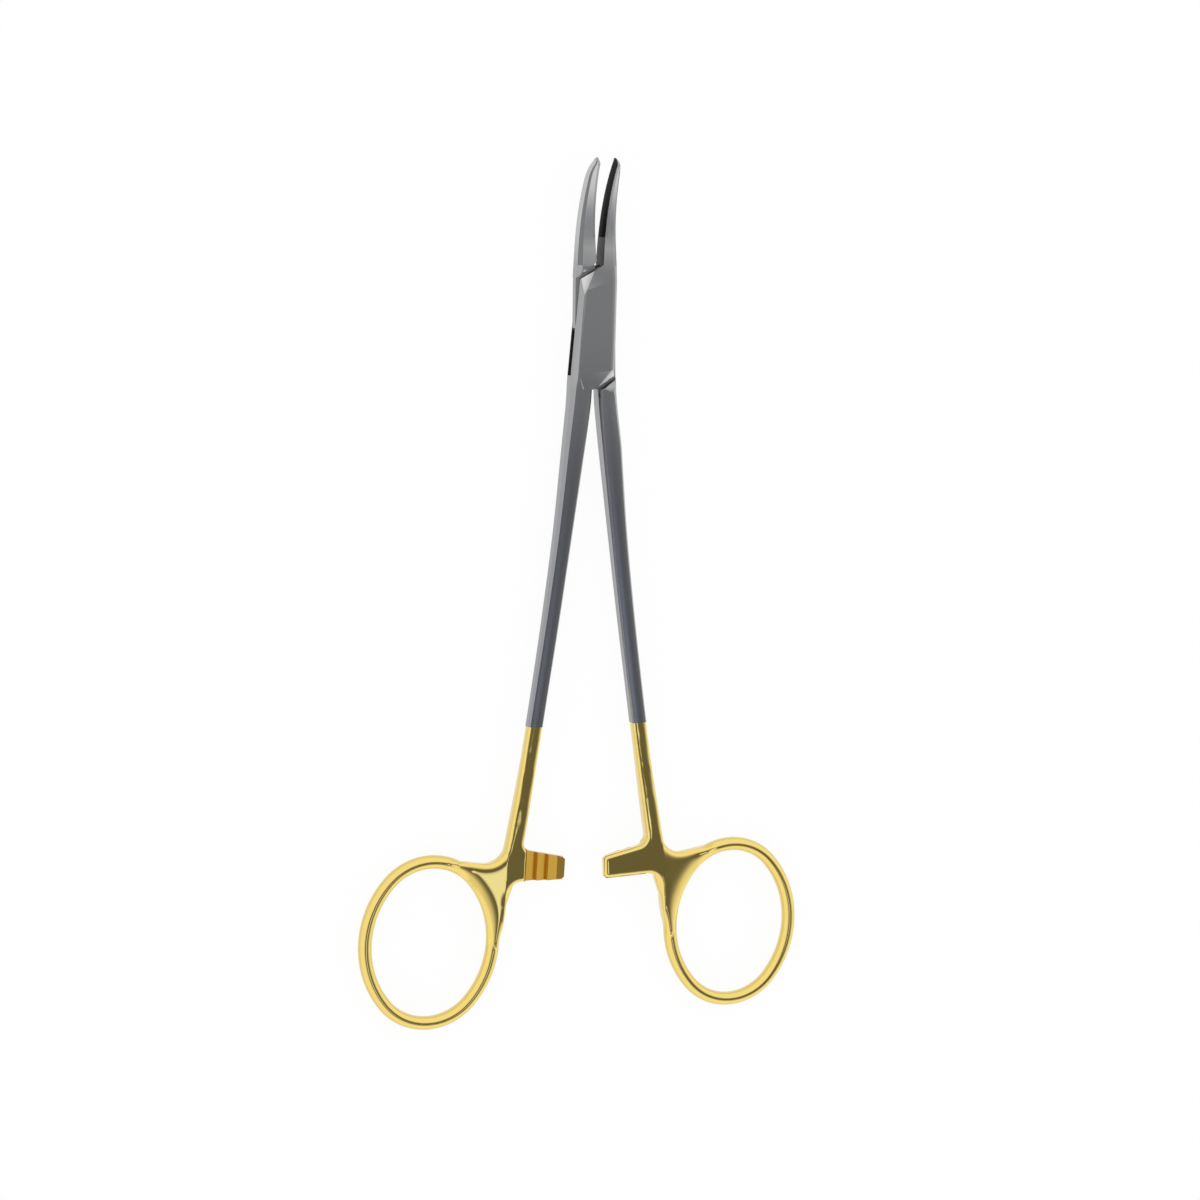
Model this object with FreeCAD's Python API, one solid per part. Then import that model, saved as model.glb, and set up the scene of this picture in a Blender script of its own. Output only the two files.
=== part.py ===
import FreeCAD
import Part
import math
import os
from FreeCAD import Vector

# A curved needle holder with a box lock, hard metal jaws and a ratchet.
# It is two forged halves that cross at a flush rivet. Each half is drawn closed, about the
# rivet, with its handle on the +X side and its jaw on the -X side. The female one is then
# mirrored, and both are swung out to the open attitude in which the instrument lies on a table.
# X is across the instrument, Y runs to the tips and Z is up. Millimetres and degrees.

# Attitude
half_opening = 2.55  # each half is swung out this far from the attitude of its drawing
closing_swing = 0.5  # and swings this far the other way before the jaws meet
closed_gap = 0.06  # left between the two gripping faces when closed

# Box lock
box_thickness = 5.0
box_back_width = 10.0
box_front_width = 8.5
box_bevel = 0.9
box_edge = 0.4
root_inset = 0.62  # the male half is this much narrower at its back shoulder
crotch_y = 13.4  # where the jaws part, and behind the rivet the shanks
corner_y = 10.15  # outer ends of the slanting edges of the cheeks
flank_gap = 0.15  # slit between the halves at the crotches
slot_height = 1.9
slot_end_y = 10.65  # where the slot's closed ends meet the sides of the box
tang_clearance = 0.05  # above and below the tang
shoulder_clearance = 0.45
# Bevels: a steep face up from the side, then a narrow and nearly level one that meets the top
bevel_rise = 1.45
edge_rise = 0.12
inner_bevel_share = 0.7  # the bevels between the shanks are narrower

# Ground facets on free corners: how far along the slanting edge and the side, and how deep
cheek_front_facet = (3.6, 5.7, 1.1)
cheek_back_facet = (5.0, 2.7, 1.1)
shoulder_front_facet = (3.6, 2.6, 1.0)
shoulder_back_facet = (4.6, 4.9, 0.5)

# Rivet
rivet_radius = 1.6
rivet_clearance = 0.05

# Jaws
tip_y = 36.2
jaw_shoulder_y = 32.0  # the outer edge is straight up to here
jaw_shoulder_width = 2.05
tip_land = 0.12  # blunt end of the tip
grip_offset = 0.27  # the gripping plane lies this far to the female jaw's side of the rivet
grip_relief = 0.1  # the steel behind an insert stands back from the gripping plane
jaw_bevel = 0.42
jaw_edge = 0.18
bend_under = 17.5  # the underside leaves the flat here
bend_over = 17.0
bend_over_drop = 0.25
nose_under = (36.3, 4.3)
nose_over = (34.75, 6.75)
nose_bulge = 0.45
insert_start_y = 19.2
insert_thickness = 0.6

# Shank: distance behind the rivet, centre, width, thickness and bevel at each station
shank_stations = (
    (16.9, 2.60, 4.80, 4.85, 0.80),
    (26.0, 3.13, 4.50, 4.45, 0.65),
    (44.5, 4.38, 3.80, 3.80, 0.57),
    (63.0, 5.92, 3.55, 3.30, 0.50),
    (82.0, 7.76, 3.42, 2.95, 0.43),
    (96.0, 9.22, 3.45, 3.05, 0.43),
    (108.0, 10.66, 3.80, 3.65, 0.54),
    (116.0, 11.75, 4.00, 3.40, 0.56),
    (124.0, 13.20, 3.30, 3.00, 0.56),
    (132.0, 14.90, 2.20, 2.20, 0.42),
)
shank_crown = 0.09  # the upper and lower faces stand this much higher in the middle
root_crown = 0.03

# Finger ring: a round bar bent to an oval of four arcs
ring_x = 29.53
ring_y = -135.3
ring_half_length = 17.95
ring_half_width = 14.55
ring_end_radius = 12.6
ring_lean = 0.8  # the far end leans inward
ring_bar_radius = 1.55

# Web between shank, ring and ratchet arm
web_thickness = 3.6
web_bevel = 0.5
web_start_y = -108.5
web_start_lean = 0.4  # the web's sides run in this much from the hollows to its start
web_start_width = 1.7
hollow_start = (13.2, -113.2)  # outer hollow, from the shank round to the ring
hollow_end = (18.5, -117.85)
inner_hollow_start = (9.3, -121.85)  # inner hollow, from the arm round to the ring
inner_hollow_end = (12.6, -125.15)
arm_hollow_start = (9.5, -112.9)  # above the arm
arm_hollow_end = (7.5, -115.3)

# Ratchet
arm_tip_top_y = -116.75
arm_corner = 0.5
arm_root_x = 8.8
arm_root_land = 0.21  # between the last tooth and the arm's root
tooth_pitch = 2.58
tooth_count = 3
tooth_depth = 0.7
tooth_undercut = 0.25  # run of the steep face of a tooth
lead_in = 1.85  # plain pad at the arm's end
pad_gap = 0.9  # between the two pads as they pass

half_back = box_back_width / 2
half_front = box_front_width / 2
half_box = box_thickness / 2
half_web = web_thickness / 2
teeth_run = tooth_count * tooth_pitch
arm_reach = lead_in + teeth_run + arm_root_land - arm_root_x  # past the centre line when closed
reach = 1.5 * tip_y  # past any face of the lock and jaws, for cutting tools


def line(a, b):
    return Part.LineSegment(Vector(a[0], a[1], 0), Vector(b[0], b[1], 0)).toShape()


def bowed(a, b, bulge):
    """An arc from a to b whose middle stands off the chord, to the left of the way it runs."""
    length = math.dist(a, b)
    left = (-(b[1] - a[1]) / length, (b[0] - a[0]) / length)
    top = ((a[0] + b[0]) / 2 + left[0] * bulge, (a[1] + b[1]) / 2 + left[1] * bulge)
    return Part.Arc(*[Vector(p[0], p[1], 0) for p in (a, top, b)]).toShape()


def tangent_arc(a, heading, b):
    """An arc that leaves a in the given direction and ends at b."""
    chord = math.atan2(b[1] - a[1], b[0] - a[0])
    turn = (chord - math.atan2(heading[1], heading[0]) + math.pi) % (2 * math.pi) - math.pi
    return bowed(a, b, -math.dist(a, b) / 2 * math.tan(turn / 2))


def chain(points):
    return [line(a, b) for a, b in zip(points, points[1:])]


def prism(edges, low, high):
    face = Part.Face(Part.Wire(Part.__sortEdges__(edges)))
    face.translate(Vector(0, 0, low))
    return face.extrude(Vector(0, 0, high - low))


def plate(points, low, high):
    return prism(chain(points + points[:1]), low, high)


def edges_over(solid, outline):
    """The level edges of a solid that run above or below the given edges of its plan."""
    found = []
    for edge in solid.Edges:
        middle = edge.valueAt((edge.FirstParameter + edge.LastParameter) / 2)
        foot = Part.Vertex(middle.x, middle.y, 0)
        upright = abs(edge.tangentAt(edge.FirstParameter).z) > 0.99
        if not upright and any(foot.distToShape(o)[0] < 0.002 for o in outline):
            found.append(edge)
    return found


def bevel_cuts(profile, lines, inward, rise):
    """Sloping cuts that meet the profile's upper and lower faces along lines in plan."""
    tools = []
    for plan_line in lines:
        sheet = plan_line.extrude(Vector(0, 0, 2 * reach))
        sheet.translate(Vector(0, 0, -reach))
        for rim in sheet.common(profile).Edges:
            middle = rim.valueAt((rim.FirstParameter + rim.LastParameter) / 2)
            if abs(rim.tangentAt(rim.FirstParameter).z) > 0.99:
                continue
            up = -1 if profile.isInside(middle + Vector(0, 0, 0.05), 1e-6, False) else 1
            slope = Vector(inward, 0, up * rise) * box_thickness
            base = rim.copy()
            base.translate(-slope)
            outward = Vector(-inward * rise, 0, up) * box_thickness
            tools.append(base.extrude(slope * 2).extrude(outward))
    return tools


def side_x(y):
    """Half the width of the box at y."""
    return half_back + (half_front - half_back) * (y + corner_y) / (2 * corner_y)


def side_profile():
    """The box and jaws seen from the side: a flat box, then jaws that bend up and get thinner."""
    back = -crotch_y
    under = (bend_under, -half_box)
    over = (bend_over, half_box - bend_over_drop)
    front = (crotch_y, half_box)
    edges = chain([over, front, (back, half_box), (back, -half_box), under])
    edges.append(tangent_arc(under, (1, 0), nose_under))
    edges.append(bowed(nose_under, nose_over, -nose_bulge))
    edges.append(tangent_arc(over, (over[0] - front[0], over[1] - front[1]), nose_over))
    profile = prism(edges, -reach, reach)
    profile.rotate(Vector(0, 0, 0), Vector(1, 1, 1), 120)
    return profile


def parting_x(offset, back_off, y):
    """Where a jaw's inner side is drawn: upright only once the half has swung in to closed."""
    return offset - back_off - y * math.tan(math.radians(closing_swing))


def box_side(side, root_x, inset, last):
    """A side of the box in plan, moved in by the inset, from the crotch line to the last y."""
    back_x = side * (root_x - inset)
    front_x = side * (side_x(last) - inset)
    return chain([(back_x, -crotch_y), (back_x, -corner_y), (front_x, last)])


def jaw_side(offset, root_inset, shoulder_inset, land):
    """The outer edge of the jaw in plan, moved in by the insets, from the box to the tip."""
    corner = (-half_front + root_inset, corner_y)
    shoulder = (-jaw_shoulder_width + shoulder_inset, jaw_shoulder_y)
    heading = (shoulder[0] - corner[0], shoulder[1] - corner[1])
    tip = (parting_x(offset, closed_gap / 2 + land, tip_y), tip_y)
    return [line(corner, shoulder), tangent_arc(shoulder, heading, tip)]


def jaw_inner(offset):
    """The inner edge of the jaw in plan, from the tip to the crotch, with the insert's step."""
    gap = closed_gap / 2
    tip = (parting_x(offset, gap + tip_land, tip_y), tip_y)
    grip_tip = (parting_x(offset, gap, tip_y), tip_y)
    grip_root = (parting_x(offset, gap, insert_start_y), insert_start_y)
    step = (parting_x(offset, gap + grip_relief, insert_start_y), insert_start_y)
    return chain([tip, grip_tip, grip_root, step, crotch(offset)])


def crotch(offset):
    return (parting_x(offset, flank_gap / 2, crotch_y), crotch_y)


def lock_block(last, offset, root_x):
    """Box and jaw of one half, bevelled along its outer sides.

    The free slanting edges run from the crotches to the sides at plus and minus last."""
    back_x = side_x(-last) if last < corner_y else half_back
    outline = jaw_side(offset, 0, 0, tip_land) + jaw_inner(offset) + box_side(1, root_x, 0, last)
    outline += chain([(-back_x, -last), (flank_gap, -crotch_y), (root_x, -crotch_y)])
    outline += chain([(side_x(last), last), crotch(offset)])
    outline.append(line((-back_x, -last), (-half_front, corner_y)))
    profile = side_profile()
    solid = prism(outline, -reach, reach).common(profile)
    cuts = []
    facets = ((box_bevel, jaw_bevel, bevel_rise), (box_bevel + box_edge, jaw_bevel + jaw_edge, edge_rise))
    for box_inset, jaw_inset, rise in facets:
        cuts += bevel_cuts(profile, box_side(1, root_x, box_inset, corner_y), -1, rise)
        cuts += bevel_cuts(profile, box_side(-1, half_back, box_inset, corner_y), 1, rise)
        land = tip_land * (1 - jaw_inset)
        cuts += bevel_cuts(profile, jaw_side(offset, box_inset, jaw_inset, land), 1, rise)
    return solid.cut(cuts).Solids[0]


def section(back, inner, outer, thickness, bevel, crown):
    """A section of the shank: upright sides, bevelled corners, crowned upper and lower faces."""
    middle = (inner + outer) / 2
    edge_z = thickness / 2 - crown
    foot_z = edge_z - bevel_rise * bevel
    inner_bevel = bevel * inner_bevel_share
    inner_foot_z = edge_z - bevel_rise * inner_bevel
    right = Vector(outer, -back, foot_z)
    right_edge = Vector(outer - bevel, -back, edge_z)
    left_edge = Vector(inner + inner_bevel, -back, edge_z)
    left = Vector(inner, -back, inner_foot_z)
    crown_top = Vector(middle, -back, thickness / 2)
    half_turn = [Vector(p.x, p.y, -p.z) for p in (left, left_edge, crown_top, right_edge, right)]
    edges = [
        Part.LineSegment(right, right_edge).toShape(),
        Part.Arc(right_edge, crown_top, left_edge).toShape(),
        Part.LineSegment(left_edge, left).toShape(),
        Part.LineSegment(left, half_turn[0]).toShape(),
        Part.LineSegment(half_turn[0], half_turn[1]).toShape(),
        Part.Arc(half_turn[1], half_turn[2], half_turn[3]).toShape(),
        Part.LineSegment(half_turn[3], half_turn[4]).toShape(),
        Part.LineSegment(half_turn[4], right).toShape(),
    ]
    return Part.Wire(edges)


def shank(root_x):
    """The tapering bar from the box to the ring."""
    wires = [section(crotch_y, flank_gap, root_x, box_thickness, box_bevel, root_crown)]
    trim = half_back - root_x
    trim_run = shank_stations[1][0] - crotch_y
    for back, centre, width, thickness, bevel in shank_stations:
        outer = centre + width / 2 - trim * max(0, 1 - (back - crotch_y) / trim_run)
        wires.append(section(back, centre - width / 2, outer, thickness, bevel, shank_crown))
    return Part.makeLoft(wires, True, False)


def ring():
    """The finger ring: a round bar bent to an oval of four tangent arcs."""
    rise = ring_half_length - ring_end_radius
    spare = ring_half_width - ring_end_radius
    side_radius = (rise ** 2 + ring_half_width ** 2 - ring_end_radius ** 2) / (2 * spare)
    offset = side_radius - ring_half_width
    side_half = math.degrees(math.atan2(rise, offset))
    end_half = 90 - side_half
    arcs = (
        ((-offset, 0), side_radius, 0, side_half),
        ((0, rise), ring_end_radius, 90, end_half),
        ((offset, 0), side_radius, 180, side_half),
        ((0, -rise), ring_end_radius, 270, end_half),
    )
    pieces = []
    for centre, radius, direction, half_sweep in arcs:
        middle = Vector(centre[0], centre[1], 0)
        circle = Part.makeCircle(ring_bar_radius, middle + Vector(radius, 0, 0), Vector(0, 1, 0))
        section = Part.Face(Part.Wire(circle))
        section.rotate(middle, Vector(0, 0, 1), direction - half_sweep)
        pieces.append(section.revolve(middle, Vector(0, 0, 1), 2 * half_sweep))
    oval = pieces[0].multiFuse(pieces[1:])
    oval.rotate(Vector(0, 0, 0), Vector(0, 0, 1), -ring_lean)
    oval.translate(Vector(ring_x, ring_y, 0))
    return oval


def web():
    """The flat between shank, ring and ratchet arm, with the whole arm in its plan."""
    tip_x = -arm_reach
    bottom_y = inner_hollow_start[1]
    side_on_ring = (ring_x - ring_half_width - 0.4 * ring_bar_radius, ring_y - 1.5 * ring_bar_radius)
    top_on_ring = (ring_x - ring_bar_radius, ring_y + ring_half_length + 0.4 * ring_bar_radius)
    bar_side = (ring_x - ring_half_width, ring_y)
    stub_inner = (arm_hollow_start[0] + web_start_lean, web_start_y)
    stub_outer = (stub_inner[0] + web_start_width, web_start_y)
    bevelled = [
        line(stub_inner, arm_hollow_start),
        tangent_arc(arm_hollow_start, (0, -1), arm_hollow_end),
        line(arm_hollow_end, (tip_x + arm_corner, arm_tip_top_y)),
        bowed((tip_x + arm_corner, arm_tip_top_y), (tip_x, arm_tip_top_y - arm_corner), arm_corner * 0.2),
        line((tip_x, arm_tip_top_y - arm_corner), (tip_x, bottom_y + arm_corner)),
        bowed((tip_x, bottom_y + arm_corner), (tip_x + arm_corner, bottom_y), arm_corner * 0.2),
        line((tip_x + arm_corner, bottom_y), inner_hollow_start),
        tangent_arc(inner_hollow_start, (1, 0), inner_hollow_end),
        tangent_arc(inner_hollow_end, (0, -1), side_on_ring),
        line(top_on_ring, hollow_end),
        tangent_arc(hollow_start, (0, -1), hollow_end),
        line(stub_outer, hollow_start),
    ]
    hidden = [
        line(side_on_ring, bar_side),
        bowed(bar_side, top_on_ring, 0.29 * ring_half_width),
        line(stub_outer, stub_inner),
    ]
    solid = prism(bevelled + hidden, -half_web, half_web)
    return solid.makeChamfer(web_bevel, edges_over(solid, bevelled))


def tooth_cut(level):
    """What is cut away beside the arm, with its saw teeth: level is 1 above and -1 below."""
    profile = [(-arm_reach - 1, pad_gap / 2), (lead_in - arm_reach, pad_gap / 2)]
    for number in range(tooth_count):
        start = lead_in - arm_reach + number * tooth_pitch
        profile.append((start, tooth_depth / 2))
        profile.append((start + tooth_pitch - tooth_undercut, -tooth_depth / 2))
    profile.append((lead_in - arm_reach + teeth_run, tooth_depth / 2))
    profile.append((arm_root_x, tooth_depth / 2))
    profile += [(arm_root_x, -half_web - 1), (-arm_reach - 1, -half_web - 1)]
    tool = plate([(x, z * level) for x, z in profile], 0, reach)
    tool.rotate(Vector(0, 0, 0), Vector(1, 0, 0), 90)
    tool.translate(Vector(0, web_start_y, 0))
    return tool


def handle(level, root_x):
    """Shank, web, ring and the toothed arm, which is above the middle or below it."""
    return shank(root_x).multiFuse([ring(), web().cut(tooth_cut(level))])


def relief(corner, towards, back, facet, side):
    """The ground facet at a free corner: it runs out along the edge and back from it."""
    along, behind, depth = facet
    top = side * half_box
    along_edge = Vector(towards[0] - corner[0], towards[1] - corner[1], 0).normalize()
    a = Vector(corner[0], corner[1], top) + along_edge * along
    b = Vector(corner[0], corner[1] + back * behind, top)
    c = Vector(corner[0], corner[1], top - side * depth)
    edge = (b - a).normalize()
    away = c - (a + b) * 0.5
    a = a - edge * 0.4
    b = b + edge * 0.4
    face = Part.Face(Part.makePolygon([a, b, b + away * 1.6, a + away * 1.6, a]))
    return face.extrude(Vector(0, 0, side * half_box))


def reliefs(front, back):
    """The facets of one half, on its upper and lower faces, at its free front and back corners."""
    tools = []
    for side in (1, -1):
        tools.append(relief(front[0], (0, crotch_y), front[1], front[2], side))
        tools.append(relief(back[0], (0, -crotch_y), back[1], back[2], side))
    return tools


def insert_pocket(offset):
    """The space of a jaw insert, open towards the other jaw and past the tip."""
    back = closed_gap / 2 + insert_thickness
    start = (parting_x(offset, back, insert_start_y), insert_start_y)
    end = (parting_x(offset, back, reach), reach)
    return plate([start, (reach, insert_start_y), (reach, reach), end], -reach, reach)


def slot():
    """The slot through the box, closed behind the jaw and in front of the shank."""
    far = box_back_width
    front = (-side_x(slot_end_y), slot_end_y)
    back = (side_x(-slot_end_y), -slot_end_y)
    front_start = crotch(-grip_offset)
    back_start = (flank_gap, -crotch_y)
    front_slope = (front[1] - front_start[1]) / (front[0] - front_start[0])
    back_slope = (back[1] - back_start[1]) / (back[0] - back_start[0])
    front_far = (-far, front_start[1] + front_slope * (-far - front_start[0]))
    back_far = (far, back_start[1] + back_slope * (far - back_start[0]))
    points = [front_far, front_start, (far, crotch_y), back_far, back_start, (-far, -crotch_y)]
    return plate(points, -slot_height / 2, slot_height / 2)


def tang_recess():
    """What is cut from above and below the tang, up to the shoulders."""
    far = box_back_width
    step = 2 * flank_gap
    front_slope = (crotch_y - corner_y) / half_front
    back_slope = (crotch_y - corner_y) / half_back
    front_y = crotch_y + shoulder_clearance * math.hypot(1, front_slope)
    back_y = -crotch_y - shoulder_clearance * math.hypot(1, back_slope)
    points = [
        (-far, front_y - front_slope * far),
        (step, front_y + front_slope * step),
        (far, front_y + front_slope * step),
        (far, back_y + back_slope * far),
        (-step, back_y - back_slope * step),
        (-far, back_y - back_slope * step),
    ]
    half_tang = slot_height / 2 - tang_clearance
    return [plate(points, half_tang, reach), plate(points, -reach, -half_tang)]


def rivet_hole(radius):
    return Part.makeCylinder(radius, 2 * reach, Vector(0, 0, -reach))


def place(shape, turn):
    """Swings a half out from closed and sets the underside of the box on the table."""
    placed = shape.copy()
    placed.rotate(Vector(0, 0, 0), Vector(0, 0, 1), turn)
    placed.translate(Vector(0, 0, half_box))
    return placed


def mirrored(shape):
    return shape.mirror(Vector(0, 0, 0), Vector(1, 0, 0))


def female_half():
    blank = lock_block(corner_y, -grip_offset, half_back)
    pocket = insert_pocket(-grip_offset)
    cheeks = reliefs(
        ((half_front, corner_y), -1, cheek_front_facet),
        ((-half_back, -corner_y), 1, cheek_back_facet),
    )
    steel = blank.cut([pocket, slot(), rivet_hole(rivet_radius)])
    steel = steel.multiFuse([handle(-1, half_back)]).cut(cheeks)
    return steel.removeSplitter(), blank.common(pocket)


def male_half():
    root_x = half_back - root_inset
    blank = lock_block(0, grip_offset, root_x)
    pocket = insert_pocket(grip_offset)
    shoulders = reliefs(
        ((-half_front, corner_y), 1, shoulder_front_facet),
        ((root_x, -corner_y), -1, shoulder_back_facet),
    )
    hole = rivet_hole(rivet_radius + rivet_clearance)
    steel = blank.cut([pocket, hole] + tang_recess())
    steel = steel.multiFuse([handle(1, root_x)]).cut(shoulders)
    return steel.removeSplitter(), blank.common(pocket)


def pivot_rivet():
    return Part.makeCylinder(rivet_radius, box_thickness, Vector(0, 0, -half_box))


def build():
    female, female_insert = female_half()
    male, male_insert = male_half()
    nodes = {
        "female_half": place(mirrored(female), -half_opening),
        "female_jaw_insert": place(mirrored(female_insert), -half_opening),
        "pivot_rivet": place(pivot_rivet(), 0),
        "male_half": place(male, half_opening),
        "male_jaw_insert": place(male_insert, half_opening),
    }
    os.makedirs("parts", exist_ok=True)
    for name, shape in nodes.items():
        solid = shape.Solids[0]
        print(name, len(shape.Solids), shape.isValid(), round(solid.Volume, 2), solid.BoundBox)
        solid.exportStep("parts/" + name + ".step")


build()
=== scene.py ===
import math
import bmesh
import bpy
from mathutils import Matrix, Vector
from mathutils.bvhtree import BVHTree


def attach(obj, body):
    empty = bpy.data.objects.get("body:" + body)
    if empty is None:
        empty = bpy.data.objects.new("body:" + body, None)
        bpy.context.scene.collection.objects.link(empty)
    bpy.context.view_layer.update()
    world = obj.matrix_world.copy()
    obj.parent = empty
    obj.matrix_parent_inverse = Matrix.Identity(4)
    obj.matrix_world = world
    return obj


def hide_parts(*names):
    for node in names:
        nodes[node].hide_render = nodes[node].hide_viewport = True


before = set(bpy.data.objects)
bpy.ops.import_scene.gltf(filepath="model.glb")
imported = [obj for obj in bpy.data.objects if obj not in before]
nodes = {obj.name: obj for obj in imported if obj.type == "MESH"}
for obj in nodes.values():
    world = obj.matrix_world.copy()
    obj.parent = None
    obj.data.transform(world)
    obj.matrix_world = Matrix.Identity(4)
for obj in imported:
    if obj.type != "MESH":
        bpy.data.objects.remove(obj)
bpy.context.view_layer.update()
mm = 0.001

# Side is the side that a half's handle is on, arm the face of its ratchet arm without teeth
halves = {
    "female": {"node": "female_half", "insert": "female_jaw_insert", "side": -1, "arm": -1},
    "male": {"node": "male_half", "insert": "male_jaw_insert", "side": 1, "arm": 1},
}
swing = math.radians(2.55)
middleHeight = 2.5  # of the instrument over the table, in millimetres
crispAngle = 20

# Lengths below are in millimetres, in the drawing of one half
shank = {
    # y, centre, width, thickness and bevel, as in the CAD source
    "stations": (
        (-13.4, 2.575, 4.85, 5.00, 0.90),
        (-16.9, 2.60, 4.80, 4.85, 0.80),
        (-26.0, 3.13, 4.50, 4.45, 0.65),
        (-44.5, 4.38, 3.80, 3.80, 0.57),
        (-63.0, 5.92, 3.55, 3.30, 0.50),
        (-82.0, 7.76, 3.42, 2.95, 0.43),
        (-96.0, 9.22, 3.45, 3.05, 0.43),
    ),
    "crown": 0.09,
    "rootCrown": 0.03,
    "crownFrom": -16.9,
    "starts": {"female": -13.4, "male": -15.1},
    "bevelRise": 1.45,
    "innerShare": 0.7,
    "maleTrim": 0.62,
    "trimStart": -13.4,
    "trimEnd": -26.0,
    "rows": 90,
    "crownSteps": 12,
}

# The shanks are smoother and darker than the lock, and the jaws are painted lightest, a painted
# highlight for the light on their raised tops
steelLook = {
    "color": (0.30, 0.305, 0.32, 1),
    "lockColor": (0.345, 0.347, 0.35, 1),
    "litJawColor": (0.50, 0.503, 0.505, 1),
    "roughness": 0.22,
    "lockRoughness": 0.32,
    "lockY": (-45.0, 2.0),
    "litJawY": (11.0, 21.0),
    "grainScale": (5200.0, 700.0, 5200.0),
    "grainDistance": 0.02,
    "grain": 0.25,
}

# A painted highlight: the ground facets get a lighter colour for the light their tilt catches
facetHighlightLook = {"color": (0.60, 0.60, 0.59, 1), "roughness": 0.42, "grain": 0.5}
# Painted shade: the inside of the lock is near black for the shade within it
insideShadeLook = {"color": (0.07, 0.07, 0.075, 1), "roughness": 0.5, "grain": 0.3}
# Painted shade: the jaw bevels are darker for the shade that falls on them
jawShadeLook = {"color": (0.18, 0.182, 0.188, 1), "roughness": 0.35, "grain": 0.4}
brazeLook = {"color": (0.36, 0.36, 0.36, 1), "roughness": 0.4, "grain": 0.4}
# Painted shade and reflection: the teeth get a darker amber for the light bouncing between them
toothShadeLook = {"color": (0.60, 0.36, 0.06, 1), "roughness": 0.28}

# How the faces of the lock and jaws are told apart: by the parts of their normals and by place
lockFaces = {
    "facetLean": (0.6, 0.985),
    "facetTurn": 0.1,
    "cornerX": 5.0,
    "cornerY": (7.0, 15.5),
    "jawStart": 14.0,
    "bevelTurn": -0.5,
    "bevelLean": (0.3, 0.85),
    "slotY": 15.0,
    "slotZ": 2.3,
    "level": 0.95,
    "upright": 0.3,
    "crotchX": 1.0,
    "crotchY": (13.0, 19.3),
}

goldLook = {
    "color": (0.75, 0.56, 0.13, 1),
    "roughness": 0.07,
    "coat": 1.0,
    "coatIor": 1.6,
    "coatRoughness": 0.04,
    "lineY": -87.5,  # where the gilt begins, behind the rivet
    "waveScale": 260.0,
    "waveHeight": 0.004,
}

# The smooth skin of a handle. Its webs fall a little towards the ring: by these heights at
# these x, and to this share at these y. The core of the web, near the middle plane, stays
handle = {
    "voxel": 0.2,
    "past": 6.0,  # how far the skin runs on before it is cut at the gilt line
    "smoothing": 20,
    "webFall": ((13.3, 0.0), (21.3, -0.45), (24.3, 0.0)),
    "webShare": ((-136.0, 0), (-131.0, 1), (-113.0, 1), (-110.5, 0)),
    "webCore": ((0.9, 0), (1.4, 1)),
    "webSmoothing": 60,
    "softAngle": 60,
}

# The toothed part of a ratchet arm, which stays crisp: grown by the overlap and the sink
teethBox = {
    "low": (-3.0, -124.5, -3.0),
    "high": (8.8, -110.0, 1.1),
    "overlap": 0.1,
    "sink": 0.25,
}

# The points on the gripping faces stand in a diamond grid, in parts of their pitch
carbideShadeLook = {
    # The carbide's own dark grey, darkened further as painted shade between the jaws
    "color": (0.035, 0.035, 0.04, 1),
    "roughness": 0.4,
    "grain": 0.3,
    "pitch": 0.42,
    "depth": 0.12,
    "rowStep": 0.7071,
    "columnStep": 1.4142,
    "columns": 30,
    "pointRadius": 0.68,
    "margin": 0.6,
    "flatness": 0.02,
}


def newMaterial(name):
    mat = bpy.data.materials.new(name)
    mat.use_nodes = True
    tree = mat.node_tree
    return mat, tree, tree.nodes["Principled BSDF"]


def grainGroup():
    # Fine satin grain, drawn out along the instrument, as a height between 0 and 1
    group = bpy.data.node_groups.new("satinGrain", "ShaderNodeTree")
    group.interface.new_socket("Height", in_out="OUTPUT", socket_type="NodeSocketFloat")
    outs = group.nodes.new("NodeGroupOutput")
    coords = group.nodes.new("ShaderNodeTexCoord")
    stretch = group.nodes.new("ShaderNodeVectorMath")
    stretch.operation = "MULTIPLY"
    stretch.inputs[1].default_value = steelLook["grainScale"]
    noise = group.nodes.new("ShaderNodeTexNoise")
    noise.inputs["Scale"].default_value = 1
    noise.inputs["Detail"].default_value = 2
    group.links.new(coords.outputs["Object"], stretch.inputs[0])
    group.links.new(stretch.outputs[0], noise.inputs["Vector"])
    group.links.new(noise.outputs["Fac"], outs.inputs["Height"])
    return group


def bumpFrom(tree, shader, height, strength, distance):
    bump = tree.nodes.new("ShaderNodeBump")
    bump.inputs["Strength"].default_value = strength
    bump.inputs["Distance"].default_value = distance
    tree.links.new(height, bump.inputs["Height"])
    tree.links.new(bump.outputs["Normal"], shader.inputs["Normal"])


def metal(name, look):
    mat, tree, shader = newMaterial(name)
    shader.inputs["Base Color"].default_value = look["color"]
    shader.inputs["Metallic"].default_value = 1
    shader.inputs["Roughness"].default_value = look["roughness"]
    return mat, tree, shader


def grainyMetal(name, look):
    mat, tree, shader = metal(name, look)
    grain = tree.nodes.new("ShaderNodeGroup")
    grain.node_tree = satinGrain
    bumpFrom(tree, shader, grain.outputs["Height"], look["grain"], steelLook["grainDistance"] * mm)
    return mat


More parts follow.
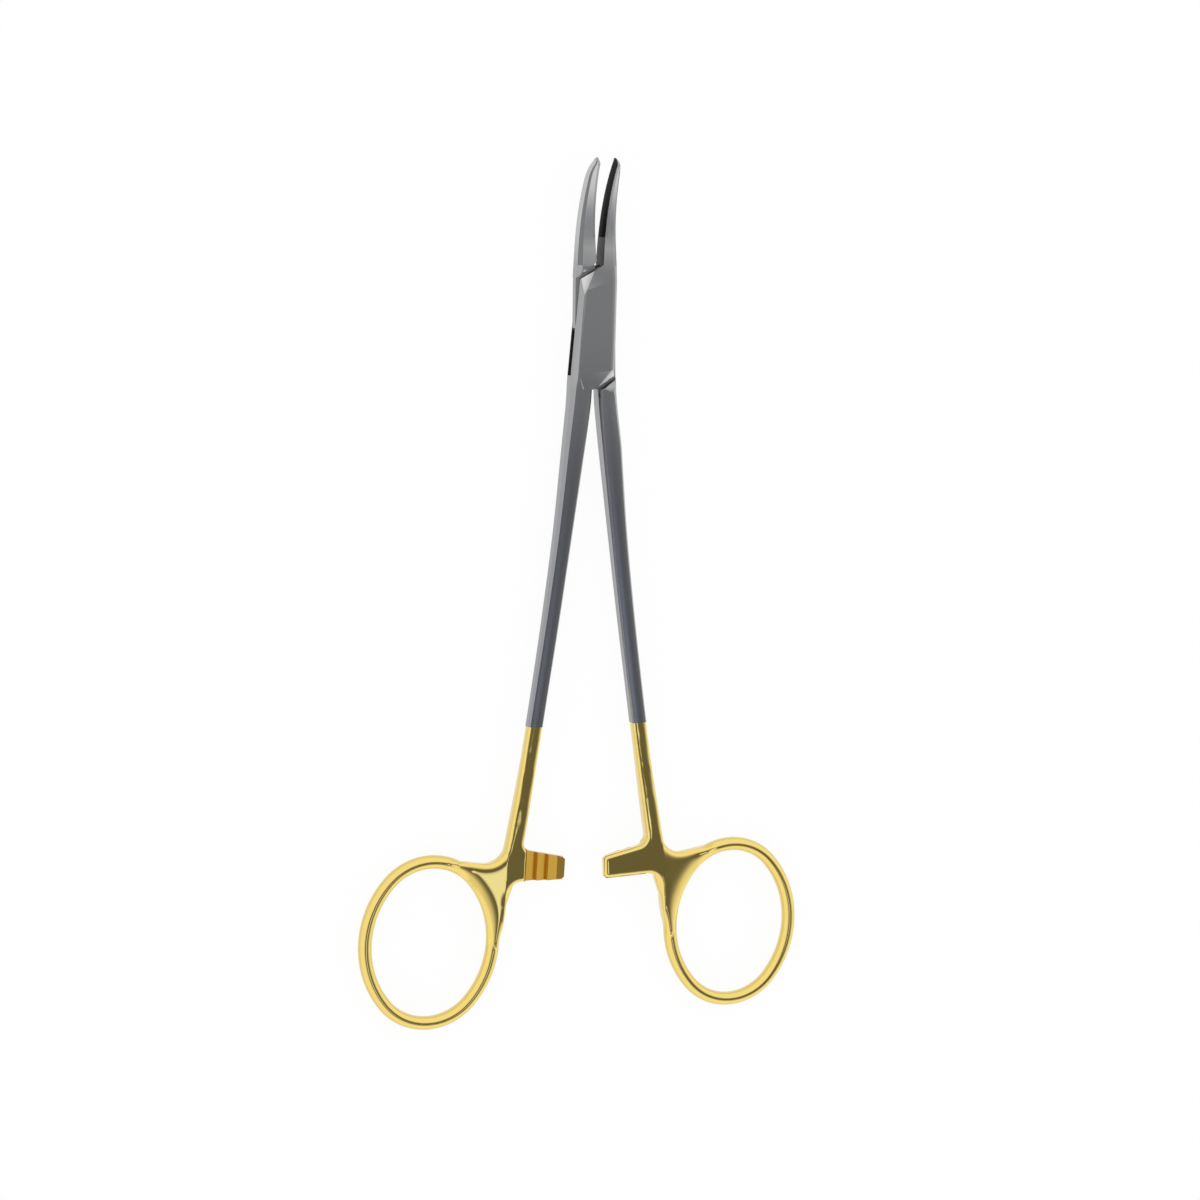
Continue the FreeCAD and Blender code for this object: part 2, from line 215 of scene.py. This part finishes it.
def goldMaterial():
    mat, tree, shader = metal("polishedGilt", goldLook)
    shader.inputs["Coat Weight"].default_value = goldLook["coat"]
    shader.inputs["Coat IOR"].default_value = goldLook["coatIor"]
    shader.inputs["Coat Roughness"].default_value = goldLook["coatRoughness"]
    coords = tree.nodes.new("ShaderNodeTexCoord")
    noise = tree.nodes.new("ShaderNodeTexNoise")
    noise.inputs["Scale"].default_value = goldLook["waveScale"]
    noise.inputs["Detail"].default_value = 1
    tree.links.new(coords.outputs["Object"], noise.inputs["Vector"])
    bumpFrom(tree, shader, noise.outputs["Fac"], 1, goldLook["waveHeight"] * mm)
    return mat


def smoothStep(tree, value, start, end):
    step = tree.nodes.new("ShaderNodeMapRange")
    step.interpolation_type = "SMOOTHSTEP"
    step.inputs["From Min"].default_value = start
    step.inputs["From Max"].default_value = end
    tree.links.new(value, step.inputs["Value"])
    return step


def colorMix(tree, factor, end):
    # Sockets 6 and 7 of a mix node are its two colours
    mix = tree.nodes.new("ShaderNodeMix")
    mix.data_type = "RGBA"
    mix.inputs[7].default_value = end
    tree.links.new(factor, mix.inputs["Factor"])
    return mix


def steelMaterial():
    mat = grainyMetal("satinSteel", steelLook)
    tree = mat.node_tree
    shader = tree.nodes["Principled BSDF"]
    coords = tree.nodes.new("ShaderNodeTexCoord")
    parts = tree.nodes.new("ShaderNodeSeparateXYZ")
    tree.links.new(coords.outputs["Object"], parts.inputs[0])
    lockStart, lockEnd = steelLook["lockY"]
    jawStart, jawEnd = steelLook["litJawY"]
    toLock = smoothStep(tree, parts.outputs["Y"], lockStart * mm, lockEnd * mm)
    toLitJaw = smoothStep(tree, parts.outputs["Y"], jawStart * mm, jawEnd * mm)
    rough = tree.nodes.new("ShaderNodeMapRange")
    rough.inputs["To Min"].default_value = steelLook["roughness"]
    rough.inputs["To Max"].default_value = steelLook["lockRoughness"]
    tree.links.new(toLock.outputs["Result"], rough.inputs["Value"])
    tree.links.new(rough.outputs["Result"], shader.inputs["Roughness"])
    tint = colorMix(tree, toLock.outputs["Result"], steelLook["lockColor"])
    tint.inputs[6].default_value = steelLook["color"]
    # The jaws mix to a lighter colour: a painted highlight
    whole = colorMix(tree, toLitJaw.outputs["Result"], steelLook["litJawColor"])
    tree.links.new(tint.outputs[2], whole.inputs[6])
    tree.links.new(whole.outputs[2], shader.inputs["Base Color"])
    return mat


print("materials")
satinGrain = grainGroup()
steel = steelMaterial()
facetHighlight = grainyMetal("groundFacetHighlight", facetHighlightLook)
inner = grainyMetal("lockInsideShade", insideShadeLook)
braze = grainyMetal("insertEdge", brazeLook)
jawEdgeShade = grainyMetal("jawEdgeShade", jawShadeLook)
gold = goldMaterial()
toothGiltShade = metal("toothGiltShade", toothShadeLook)[0]
shadedCarbide = grainyMetal("shadedCarbide", carbideShadeLook)


def placement(half):
    # From the drawing of one half, in millimetres, to its place in the frame
    turn = Matrix.Rotation(half["side"] * swing, 4, "Z")
    mirror = Matrix.Diagonal((half["side"], 1, 1, 1))
    lift = Matrix.Translation((0, 0, middleHeight))
    return Matrix.Scale(mm, 4) @ lift @ turn @ mirror


def newPiece(name, mesh, material, body):
    mesh.name = name
    mesh.materials.clear()
    mesh.materials.append(material)
    piece = bpy.data.objects.new(name, mesh)
    bpy.context.scene.collection.objects.link(piece)
    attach(piece, body)
    return piece


def mergedCopy(source):
    # The triangles of a CAD node joined into one skin
    bm = bmesh.new()
    bm.from_mesh(source.data)
    bmesh.ops.remove_doubles(bm, verts=bm.verts, dist=0.002 * mm)
    return bm


def cutAway(bm, place, point, normal):
    # Cuts off what lies on the side that the normal points to, and closes the cut
    geom = bm.verts[:] + bm.edges[:] + bm.faces[:]
    direction = (place.to_3x3() @ Vector(normal)).normalized()
    cut = bmesh.ops.bisect_plane(
        bm, geom=geom, plane_co=place @ Vector(point), plane_no=direction, clear_outer=True
    )
    rim = [e for e in cut["geom_cut"] if isinstance(e, bmesh.types.BMEdge)]
    bmesh.ops.holes_fill(bm, edges=rim, sides=0)


def toMesh(bm, name):
    mesh = bpy.data.meshes.new(name)
    bm.to_mesh(mesh)
    bm.free()
    return mesh


def shadeSmooth(piece, angle):
    piece.data.shade_smooth()
    piece.data.set_sharp_from_angle(angle=math.radians(angle))


def shadeCrisp(piece):
    shadeSmooth(piece, crispAngle)
    weigh = piece.modifiers.new("weighted", "WEIGHTED_NORMAL")
    weigh.keep_sharp = True
    weigh.mode = "FACE_AREA_WITH_ANGLE"


def applied(piece):
    # The piece's mesh with its modifiers worked in
    graph = bpy.context.evaluated_depsgraph_get()
    return bpy.data.meshes.new_from_object(piece.evaluated_get(graph))


def blockPiece(name, low, high, place):
    # A block between two corners of a half's drawing
    bm = bmesh.new()
    bmesh.ops.create_cube(bm, size=1)
    size = Vector(high) - Vector(low)
    middle = (Vector(high) + Vector(low)) / 2
    for vert in bm.verts:
        spot = Vector((vert.co.x * size.x, vert.co.y * size.y, vert.co.z * size.z)) + middle
        vert.co = place @ spot
    bmesh.ops.recalc_face_normals(bm, faces=bm.faces)
    block = bpy.data.objects.new(name, toMesh(bm, name))
    bpy.context.scene.collection.objects.link(block)
    return block


def withBlock(name, mesh, block, operation):
    # The mesh with a block taken away, or what of it lies in the block
    work = bpy.data.objects.new(name, mesh)
    bpy.context.scene.collection.objects.link(work)
    mod = work.modifiers.new("block", "BOOLEAN")
    mod.operation = operation
    mod.solver = "EXACT"
    mod.object = block
    result = applied(work)
    bpy.data.objects.remove(work)
    return result


print("box and jaws")


def within(value, limits):
    return limits[0] < value < limits[1]


def facetFaces(mesh, place, half):
    # The ground facets at the free corners of the cheeks and shoulders, lighter as a painted
    # highlight, the bevels of the jaws, darker as painted shade, and the walls and crotch of the
    # lock with the level faces of the slot, near black as painted shade
    rule = lockFaces
    back = place.inverted()
    turn = back.to_3x3()
    for face in mesh.polygons:
        spot = back @ face.center
        lean = (turn @ face.normal).normalized()
        rise = abs(lean.z)
        turned = min(abs(lean.x), abs(lean.y)) > rule["facetTurn"]
        inCorner = abs(spot.x) < rule["cornerX"] and within(abs(spot.y), rule["cornerY"])
        if turned and within(rise, rule["facetLean"]) and inCorner:
            face.material_index = 1
        outward = lean.x < rule["bevelTurn"] and within(rise, rule["bevelLean"])
        if outward and spot.y > rule["jawStart"]:
            face.material_index = 3
        inLock = abs(spot.y) < rule["slotY"] and abs(spot.z) < rule["slotZ"]
        upright = rise < rule["upright"]
        level = rise > rule["level"] and inLock and half["side"] < 0
        wall = upright and abs(lean.y) > rule["upright"] and inLock
        crotch = upright and abs(spot.x) < rule["crotchX"] and within(spot.y, rule["crotchY"])
        if level or wall or crotch:
            face.material_index = 2


def lockPiece(body, half):
    place = placement(half)
    bm = mergedCopy(nodes[half["node"]])
    cutAway(bm, place, (0, shank["starts"][body], 0), (0, -1, 0))
    piece = newPiece(body + "Lock", toMesh(bm, "lock"), steel, body)
    # The lighter facets are a painted highlight; the dark inside of the lock and the jaw bevels
    # are painted shade
    piece.data.materials.append(facetHighlight)
    piece.data.materials.append(inner)
    piece.data.materials.append(jawEdgeShade)
    facetFaces(piece.data, place, half)
    shadeCrisp(piece)
    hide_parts(half["node"])


for body, half in halves.items():
    lockPiece(body, half)


print("shanks")


def stationAt(y):
    # Centre, width, thickness and bevel at some y, on a smooth curve through the stations
    rows = shank["stations"]
    index = max(i for i in range(len(rows) - 1) if y <= rows[i][0] + 1e-6)
    a, b = rows[index], rows[index + 1]
    before = rows[index - 1] if index else a
    after = rows[index + 2] if index + 2 < len(rows) else b
    t = (y - a[0]) / (b[0] - a[0])
    result = []
    for k in range(1, 5):
        slopeA = (b[k] - before[k]) / (b[0] - before[0]) * (b[0] - a[0])
        slopeB = (after[k] - a[k]) / (after[0] - a[0]) * (b[0] - a[0])
        h00 = 2 * t**3 - 3 * t**2 + 1
        h10 = t**3 - 2 * t**2 + t
        h01 = -2 * t**3 + 3 * t**2
        h11 = t**3 - t**2
        result.append(h00 * a[k] + h10 * slopeA + h01 * b[k] + h11 * slopeB)
    return result


def sectionPoints(y, trim):
    # The outline of the shank at some y: a crowned top with bevels, and the same underneath
    centre, width, thickness, bevel = stationAt(y)
    run = (y - shank["trimStart"]) / (shank["trimEnd"] - shank["trimStart"])
    outer = centre + width / 2 - trim * max(0, 1 - run)
    inner = centre - width / 2
    fullCrown = min(1, (shank["trimStart"] - y) / (shank["trimStart"] - shank["crownFrom"]))
    crown = shank["rootCrown"] + (shank["crown"] - shank["rootCrown"]) * fullCrown
    edgeZ = thickness / 2 - crown
    innerBevel = bevel * shank["innerShare"]
    right = outer - bevel
    left = inner + innerBevel
    half = (right - left) / 2
    over = [(outer, edgeZ - shank["bevelRise"] * bevel)]
    for step in range(shank["crownSteps"] + 1):
        x = right - 2 * half * step / shank["crownSteps"]
        off = (x - (right + left) / 2) / half
        over.append((x, edgeZ + crown * (1 - off * off)))
    over.append((inner, edgeZ - shank["bevelRise"] * innerBevel))
    under = [(x, -z) for x, z in reversed(over)]
    return [Vector((x, y, z)) for x, z in over + under]


def shankPiece(body, half):
    place = placement(half)
    trim = shank["maleTrim"] if body == "male" else 0
    first = shank["starts"][body]
    bm = bmesh.new()
    rings = []
    for row in range(shank["rows"] + 1):
        y = first + (goldLook["lineY"] - first) * row / shank["rows"]
        rings.append([bm.verts.new(place @ p) for p in sectionPoints(y, trim)])
    for a, b in zip(rings, rings[1:]):
        for k in range(len(a)):
            n = (k + 1) % len(a)
            bm.faces.new((a[k], a[n], b[n], b[k]))
    bm.faces.new(rings[0])
    bm.faces.new(rings[-1])
    bmesh.ops.recalc_face_normals(bm, faces=bm.faces)
    piece = newPiece(body + "Shank", toMesh(bm, "shank"), steel, body)
    shadeCrisp(piece)


for body, half in halves.items():
    shankPiece(body, half)


print("gilt handles")


def armBlock(name, half, grow, sink):
    # The block that holds the teeth of a half's arm
    low = list(teethBox["low"])
    high = list(teethBox["high"])
    high[0] += grow
    high[2] += sink
    if half["arm"] < 0:
        low[2], high[2] = -high[2], -low[2]
    return blockPiece(name, low, high, placement(half))


def between(points, x):
    # The height of a line through the points at x, level past its ends
    for (x0, h0), (x1, h1) in zip(points, points[1:]):
        if x <= x1:
            return h0 + (h1 - h0) * max(0, (x - x0) / (x1 - x0))
    return points[-1][1]


def leanWebs(bm, place):
    # The flat faces of the web fall towards the ring, and flow into what is around them
    back = place.inverted()
    moved = []
    for vert in bm.verts:
        spot = back @ vert.co
        fall = between(handle["webFall"], spot.x) * between(handle["webShare"], spot.y)
        fall *= between(handle["webCore"], abs(spot.z))
        if fall:
            spot.z += fall if spot.z > 0 else -fall
            vert.co = place @ spot
            moved.append(vert)
    for again in range(handle["webSmoothing"]):
        bmesh.ops.smooth_vert(
            bm, verts=moved, factor=0.5, use_axis_x=True, use_axis_y=True, use_axis_z=True
        )


def clearTeeth(bm, place, half):
    # Holds the soft skin back from where the crisp teeth are
    back = place.inverted()
    low, high = teethBox["low"], teethBox["high"]
    for vert in bm.verts:
        spot = back @ vert.co
        inArm = spot.x < high[0] and low[1] < spot.y < high[1]
        if inArm and spot.z * half["arm"] < high[2]:
            spot.z = high[2] * half["arm"]
            vert.co = place @ spot


def smoothed(mesh):
    # The mesh as one even skin with soft edges
    work = bpy.data.objects.new("work", mesh)
    bpy.context.scene.collection.objects.link(work)
    remesh = work.modifiers.new("remesh", "REMESH")
    remesh.mode = "VOXEL"
    remesh.voxel_size = handle["voxel"] * mm
    smooth = work.modifiers.new("smooth", "SMOOTH")
    smooth.factor = 0.5
    smooth.iterations = handle["smoothing"]
    result = applied(work)
    bpy.data.objects.remove(work)
    return result


def handlePiece(body, half):
    place = placement(half)
    bm = mergedCopy(nodes[half["node"]])
    cutAway(bm, place, (0, goldLook["lineY"] + handle["past"], 0), (0, 1, 0))
    skin = toMesh(bm, body + "Skin")
    block = armBlock("armCut", half, 0, 0)
    bare = withBlock("bare", skin.copy(), block, "DIFFERENCE")
    bpy.data.objects.remove(block)
    block = armBlock("armKeep", half, teethBox["overlap"], teethBox["sink"])
    teeth = withBlock("teeth", skin, block, "INTERSECT")
    bpy.data.objects.remove(block)

    bm = bmesh.new()
    bm.from_mesh(smoothed(bare))
    leanWebs(bm, place)
    clearTeeth(bm, place, half)
    cutAway(bm, place, (0, goldLook["lineY"], 0), (0, 1, 0))
    piece = newPiece(body + "Handle", toMesh(bm, "handle"), gold, body)
    shadeSmooth(piece, handle["softAngle"])
    ratchetMaterial = toothGiltShade if half["arm"] < 0 else gold  # the lower arm shows its teeth, in a darker amber gilt as painted shade and reflection between them
    ratchet = newPiece(body + "Ratchet", teeth, ratchetMaterial, body)
    shadeCrisp(ratchet)
    print(body, len(piece.data.polygons), len(teeth.polygons))


for body, half in halves.items():
    handlePiece(body, half)


print("jaw inserts")


def hatchTree():
    # A small four-sided point on every vertex of the grid it is given
    tree = bpy.data.node_groups.new("crossHatch", "GeometryNodeTree")
    sockets = {
        "Geometry": "NodeSocketGeometry",
        "Pitch": "NodeSocketFloat",
        "Depth": "NodeSocketFloat",
        "Turn": "NodeSocketVector",
        "Material": "NodeSocketMaterial",
    }
    for name, kind in sockets.items():
        tree.interface.new_socket(name, in_out="INPUT", socket_type=kind)
    tree.interface.new_socket("Geometry", in_out="OUTPUT", socket_type="NodeSocketGeometry")
    ins = tree.nodes.new("NodeGroupInput")
    outs = tree.nodes.new("NodeGroupOutput")
    cone = tree.nodes.new("GeometryNodeMeshCone")
    cone.inputs["Vertices"].default_value = 4
    cone.inputs["Radius Top"].default_value = 0
    radius = tree.nodes.new("ShaderNodeMath")
    radius.operation = "MULTIPLY"
    radius.inputs[1].default_value = carbideShadeLook["pointRadius"]
    spread = tree.nodes.new("GeometryNodeInstanceOnPoints")
    real = tree.nodes.new("GeometryNodeRealizeInstances")
    paint = tree.nodes.new("GeometryNodeSetMaterial")
    link = tree.links.new
    link(ins.outputs["Pitch"], radius.inputs[0])
    link(radius.outputs[0], cone.inputs["Radius Bottom"])
    link(ins.outputs["Depth"], cone.inputs["Depth"])
    link(ins.outputs["Geometry"], spread.inputs["Points"])
    link(cone.outputs["Mesh"], spread.inputs["Instance"])
    link(ins.outputs["Turn"], spread.inputs["Rotation"])
    link(spread.outputs["Instances"], real.inputs["Geometry"])
    link(real.outputs["Geometry"], paint.inputs["Geometry"])
    link(ins.outputs["Material"], paint.inputs["Material"])
    link(paint.outputs["Geometry"], outs.inputs["Geometry"])
    return tree


crossHatch = hatchTree()


def hatchPlaces(tree, gripVerts, along, out, level):
    # Where the points stand on a gripping face, all clear of its edges
    pitch = carbideShadeLook["pitch"] * mm
    rowStep = pitch * carbideShadeLook["rowStep"]
    columnStep = pitch * carbideShadeLook["columnStep"]
    start = min(along.dot(v.co) for v in gripVerts)
    end = max(along.dot(v.co) for v in gripVerts)
    up = Vector((0, 0, 1))
    places = []
    for row in range(int((end - start) / rowStep) + 1):
        for column in range(-1, carbideShadeLook["columns"]):
            z = (column + 0.5 * (row % 2)) * columnStep
            spot = along * (start + row * rowStep) + out * level + Vector((0, 0, z))
            clear = True
            for off in (up, -up, along, -along):
                probe = spot + off * pitch * carbideShadeLook["margin"] + out * mm
                hit = tree.ray_cast(probe, -out, 1.5 * mm)
                if hit[0] is None or abs(out.dot(hit[0]) - level) > carbideShadeLook["flatness"] * mm:
                    clear = False
            if clear:
                places.append(spot - out * carbideShadeLook["depth"] * mm)
    return places


def hatchMesh(places, out):
    grid = bpy.data.meshes.new("grid")
    grid.from_pydata(places, [], [])
    work = bpy.data.objects.new("hatchGrid", grid)
    bpy.context.scene.collection.objects.link(work)
    mod = work.modifiers.new("hatch", "NODES")
    mod.node_group = crossHatch
    ids = {s.name: s.identifier for s in crossHatch.interface.items_tree if s.in_out == "INPUT"}
    mod[ids["Pitch"]] = carbideShadeLook["pitch"] * mm
    mod[ids["Depth"]] = carbideShadeLook["depth"] * mm
    mod[ids["Turn"]] = out.to_track_quat("Z", "X").to_euler()
    mod[ids["Material"]] = shadedCarbide
    mesh = applied(work)
    bpy.data.objects.remove(work)
    return mesh


def insertPiece(body, half):
    # The grip face is moved back by the depth of the points, which then reach where it was
    bm = mergedCopy(nodes[half["insert"]])
    bm.normal_update()
    grip = max(bm.faces, key=lambda f: f.calc_area() if f.normal.x * half["side"] > 0.9 else 0)
    out = grip.normal.copy()
    level = out.dot(grip.verts[0].co)
    tree = BVHTree.FromBMesh(bm)
    flat = carbideShadeLook["flatness"] * mm
    gripFaces = [f for f in bm.faces if f.normal.dot(out) > 0.999]
    gripVerts = {v for f in gripFaces for v in f.verts if abs(out.dot(v.co) - level) < flat}
    along = Vector((-out.y, out.x, 0)).normalized()
    if along.y < 0:
        along = -along
    places = hatchPlaces(tree, gripVerts, along, out, level)
    for vert in gripVerts:
        vert.co = vert.co - out * carbideShadeLook["depth"] * mm
    piece = newPiece(body + "Insert", toMesh(bm, "insert"), braze, body)
    # The grip face and its points take the carbide colour, darkened as painted shade
    piece.data.materials.append(shadedCarbide)
    for face in piece.data.polygons:
        if face.normal.dot(out) > 0.9:
            face.material_index = 1
    shadeCrisp(piece)
    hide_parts(half["insert"])
    hatch = newPiece(body + "Hatch", hatchMesh(places, out), shadedCarbide, body)
    print(body, "hatch points", len(places), len(hatch.data.polygons))


for body, half in halves.items():
    insertPiece(body, half)

nodes["pivot_rivet"].data.materials.clear()
nodes["pivot_rivet"].data.materials.append(steel)


print("camera")

# Place in millimetres, turns in degrees
cameraView = {
    "lens": 84.0,
    "place": (-211.3, 19.06, 572.5),
    "lean": 20.574,
    "tip": -7.359,
    "roll": 1.128,
}


def addCamera():
    v = cameraView
    data = bpy.data.cameras.new("camera")
    data.lens = v["lens"]
    data.clip_start = 0.05
    camera = bpy.data.objects.new("camera", data)
    bpy.context.scene.collection.objects.link(camera)
    turn = Matrix.Rotation(math.radians(-v["lean"]), 4, "Y")
    turn = turn @ Matrix.Rotation(math.radians(v["tip"]), 4, "X")
    turn = turn @ Matrix.Rotation(math.radians(v["roll"]), 4, "Z")
    camera.matrix_world = Matrix.Translation(Vector(v["place"]) * mm) @ turn
    bpy.context.scene.camera = camera


addCamera()

print("floor and light")

# A white tent with one dark patch overhead and a soft box: their middles and half sizes are
# parts of a unit direction, and the tones go outwards from the middle of the patch
studio = {
    "darkMiddle": (0.22, -0.17, 0),
    "darkSize": (0.36, 0.24),
    "tones": ((0.7, 0.17), (1.0, 0.36), (1.5, 0.85), (1.95, 1.2)),
    "boxMiddle": (0.205, -0.25, 0),
    "boxSize": (0.065, 0.08),
    "boxTone": 1.15,
    "boxColor": (1.0, 1.1, 1.4),
    "boxEdge": (0.4, 1.6),
    "rampSpan": 2.0,
    "floorReach": 3.0,
    "floorZ": -0.0002,
    "floorColor": (0.95, 0.95, 0.95, 1),
    "floorRoughness": 0.9,
    "floorGlow": 0.94,
}


def addFloor():
    mesh = bpy.data.meshes.new("floor")
    r = studio["floorReach"]
    mesh.from_pydata([(-r, -r, 0), (r, -r, 0), (r, r, 0), (-r, r, 0)], [], [(0, 1, 2, 3)])
    floor = bpy.data.objects.new("floor", mesh)
    floor.location.z = studio["floorZ"]
    bpy.context.scene.collection.objects.link(floor)
    mat, tree, shader = newMaterial("whiteTable")
    shader.inputs["Base Color"].default_value = studio["floorColor"]
    shader.inputs["Roughness"].default_value = studio["floorRoughness"]
    glow = tree.nodes.new("ShaderNodeEmission")
    path = tree.nodes.new("ShaderNodeLightPath")
    mix = tree.nodes.new("ShaderNodeMixShader")
    either = tree.nodes.new("ShaderNodeMath")
    either.operation = "MAXIMUM"
    amount = tree.nodes.new("ShaderNodeMath")
    amount.operation = "MULTIPLY"
    amount.inputs[1].default_value = studio["floorGlow"]
    tree.links.new(path.outputs["Is Camera Ray"], either.inputs[0])
    tree.links.new(path.outputs["Is Glossy Ray"], either.inputs[1])
    tree.links.new(either.outputs[0], amount.inputs[0])
    tree.links.new(amount.outputs[0], mix.inputs["Fac"])
    tree.links.new(shader.outputs[0], mix.inputs[1])
    tree.links.new(glow.outputs[0], mix.inputs[2])
    tree.links.new(mix.outputs[0], tree.nodes["Material Output"].inputs["Surface"])
    mesh.materials.append(mat)


def patchDistance(tree, coords, middle, size):
    # How far a direction is from the middle of a patch, as a part of the patch's size
    shift = tree.nodes.new("ShaderNodeVectorMath")
    shift.operation = "SUBTRACT"
    shift.inputs[1].default_value = middle
    scale = tree.nodes.new("ShaderNodeVectorMath")
    scale.operation = "DIVIDE"
    scale.inputs[1].default_value = (*size, 1e6)
    length = tree.nodes.new("ShaderNodeVectorMath")
    length.operation = "LENGTH"
    tree.links.new(coords.outputs["Generated"], shift.inputs[0])
    tree.links.new(shift.outputs[0], scale.inputs[0])
    tree.links.new(scale.outputs[0], length.inputs[0])
    return length.outputs["Value"]


def addWorld():
    world = bpy.data.worlds.new("studio")
    world.use_nodes = True
    bpy.context.scene.world = world
    tree = world.node_tree
    background = tree.nodes["Background"]
    coords = tree.nodes.new("ShaderNodeTexCoord")
    share = tree.nodes.new("ShaderNodeMath")
    share.operation = "DIVIDE"
    share.inputs[1].default_value = studio["rampSpan"]
    ramp = tree.nodes.new("ShaderNodeValToRGB")
    dark = patchDistance(tree, coords, studio["darkMiddle"], studio["darkSize"])
    tree.links.new(dark, share.inputs[0])
    tree.links.new(share.outputs[0], ramp.inputs["Fac"])
    stops = ramp.color_ramp.elements
    tones = studio["tones"]
    while len(stops) < len(tones):
        stops.new(0.5)
    for stop, (place, tone) in zip(stops, tones):
        stop.position = place / studio["rampSpan"]
    for stop, (place, tone) in zip(stops, tones):
        stop.color = (tone, tone, tone, 1)
    boxed = patchDistance(tree, coords, studio["boxMiddle"], studio["boxSize"])
    lamp = smoothStep(tree, boxed, *studio["boxEdge"])
    lamp.inputs["To Min"].default_value = studio["boxTone"]
    lamp.inputs["To Max"].default_value = 0
    both = tree.nodes.new("ShaderNodeVectorMath")
    both.operation = "MAXIMUM"
    tree.links.new(ramp.outputs["Color"], both.inputs[0])
    cool = tree.nodes.new("ShaderNodeVectorMath")
    cool.operation = "SCALE"
    cool.inputs[0].default_value = studio["boxColor"]
    tree.links.new(lamp.outputs["Result"], cool.inputs["Scale"])
    tree.links.new(cool.outputs[0], both.inputs[1])
    tree.links.new(both.outputs[0], background.inputs["Color"])


addFloor()
addWorld()
bpy.context.scene.view_settings.view_transform = "Standard"
